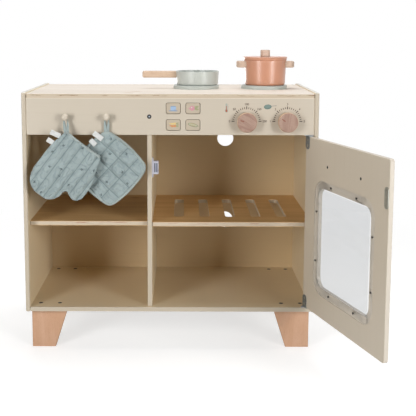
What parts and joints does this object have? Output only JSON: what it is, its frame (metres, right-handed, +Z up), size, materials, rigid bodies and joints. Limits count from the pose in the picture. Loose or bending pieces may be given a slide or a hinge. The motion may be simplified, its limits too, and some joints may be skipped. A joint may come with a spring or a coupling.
{
  "type": "toy kitchen",
  "caption": "Free-standing wooden toy kitchen with an oven that opens, an open cubby, hobs, turning knobs, push buttons, a pan, a lidded pot and a hanging oven mitt.",
  "frame": {"origin": "on the floor, under the centre of the whole footprint as stored, with the oven door open and the pan, the pot, the mitt and the pot holder in place", "axes": "+Z up, -Y out of the front where the child stands, +X to the right seen from the front"},
  "size_m": [0.683, 0.6078, 0.6206],
  "materials": {
    "painted_board": "smooth cream paint, satin",
    "worktop_board": "pale lacquered plywood, faint grain",
    "shelf_board": "brown lacquered plywood with a pale edge",
    "solid_beech": "oiled solid beech",
    "painted_peg": "cream paint, satin",
    "hob_paint": "sage green paint, satin",
    "pan_enamel": "sage green enamel",
    "pot_enamel": "terracotta enamel",
    "button_face": "pale cream, matte",
    "white_plastic": "white moulded plastic",
    "window_pane": "clear pane with a cold tint",
    "grey_steel": "zinc plated",
    "dark_steel": "black oxide",
    "spring_steel": "bright strip",
    "magnet_black": "dark sintered magnet with steel pole plates",
    "quilted_cotton": "quilted grey-green cotton",
    "cotton_tape": "woven tape"
  },
  "bodies": {
    "cabinet": {"left_side_panel": "painted_board", "right_side_panel": "painted_board", "front_panel": "painted_board", "centre_divider": "painted_board", "worktop": "worktop_board", "bottom_panel": "painted_board", "left_shelf": "shelf_board", "oven_shelf": "shelf_board", "back_panel": "painted_board", "front_left_leg": "solid_beech", "front_right_leg": "solid_beech", "back_left_leg": "solid_beech", "back_right_leg": "solid_beech", "panel_dowels": "solid_beech", "leg_screws": "dark_steel", "back_panel_screws": "dark_steel", "divider_bolt": "dark_steel", "divider_barrel_nut": "grey_steel", "left_peg": "painted_peg", "right_peg": "painted_peg", "button_housing": "white_plastic", "left_hob": "hob_paint", "right_hob": "hob_paint", "upper_hinge_pivot": "grey_steel", "lower_hinge_pivot": "grey_steel", "catch_housing": "white_plastic", "catch_magnet": "magnet_black", "cabinet_fitting_screws": "grey_steel", "upper_left_button_spring": "spring_steel", "upper_right_button_spring": "spring_steel", "lower_left_button_spring": "spring_steel", "lower_right_button_spring": "spring_steel"},
    "door": {"oven_door": "painted_board", "door_window": "window_pane", "window_screws": "dark_steel", "upper_hinge_leaf": "grey_steel", "lower_hinge_leaf": "grey_steel", "door_fitting_screws": "grey_steel", "strike_plate": "grey_steel", "door_handle": "solid_beech", "handle_screws": "dark_steel"},
    "left_knob": {"left_knob": "solid_beech", "left_knob_bolt": "grey_steel"},
    "right_knob": {"right_knob": "solid_beech", "right_knob_bolt": "grey_steel"},
    "pan": {"pan_body": "pan_enamel", "pan_handle": "solid_beech"},
    "pot": {"pot_body": "pot_enamel", "pot_ears": "solid_beech"},
    "lid": {"pot_lid": "pot_enamel", "lid_knob": "solid_beech"},
    "mitt": {"oven_mitt": "quilted_cotton", "mitt_loop": "cotton_tape"},
    "holder": {"pot_holder": "quilted_cotton", "holder_loop": "cotton_tape"},
    "upper_left_button": {"upper_left_button": "button_face"},
    "upper_right_button": {"upper_right_button": "button_face"},
    "lower_left_button": {"lower_left_button": "button_face"},
    "lower_right_button": {"lower_right_button": "button_face"}
  },
  "joints": [
    {"name": "oven_door_hinge", "type": "hinge", "parent": "cabinet", "child": "door", "pos_m": [0.24204, 0.00267, 0.2725], "axis": [0, 0, 1], "range_deg": [-107, 0]},
    {"name": "left_knob_turn", "type": "hinge", "parent": "cabinet", "child": "left_knob", "pos_m": [0.11254, -0.00033, 0.48], "axis": [0, 1, 0], "continuous": true},
    {"name": "right_knob_turn", "type": "hinge", "parent": "cabinet", "child": "right_knob", "pos_m": [0.19474, -0.00033, 0.48], "axis": [0, 1, 0], "continuous": true},
    {"name": "upper_left_button_press", "type": "slide", "parent": "cabinet", "child": "upper_left_button", "axis": [0, 1, 0], "range_m": [0, 0.004], "stiffness_N_per_m": 400, "deforming": ["upper_left_button_spring"]},
    {"name": "upper_right_button_press", "type": "slide", "parent": "cabinet", "child": "upper_right_button", "axis": [0, 1, 0], "range_m": [0, 0.004], "stiffness_N_per_m": 400, "deforming": ["upper_right_button_spring"]},
    {"name": "lower_left_button_press", "type": "slide", "parent": "cabinet", "child": "lower_left_button", "axis": [0, 1, 0], "range_m": [0, 0.004], "stiffness_N_per_m": 400, "deforming": ["lower_left_button_spring"]},
    {"name": "lower_right_button_press", "type": "slide", "parent": "cabinet", "child": "lower_right_button", "axis": [0, 1, 0], "range_m": [0, 0.004], "stiffness_N_per_m": 400, "deforming": ["lower_right_button_spring"]},
    {"name": "pan_lift", "type": "slide", "parent": "cabinet", "child": "pan", "axis": [0, 0, 1], "range_m": [0, 0.25]},
    {"name": "pot_lift", "type": "slide", "parent": "cabinet", "child": "pot", "axis": [0, 0, 1], "range_m": [0, 0.25]},
    {"name": "lid_lift", "type": "slide", "parent": "pot", "child": "lid", "axis": [0, 0, 1], "range_m": [0, 0.15]},
    {"name": "mitt_swing", "type": "hinge", "parent": "cabinet", "child": "mitt", "pos_m": [-0.25216, -0.00033, 0.49], "axis": [0, 1, 0], "range_deg": [-12, 12]},
    {"name": "holder_swing", "type": "hinge", "parent": "cabinet", "child": "holder", "pos_m": [-0.16936, -0.00033, 0.49], "axis": [0, 1, 0], "range_deg": [-12, 12]}
  ]
}
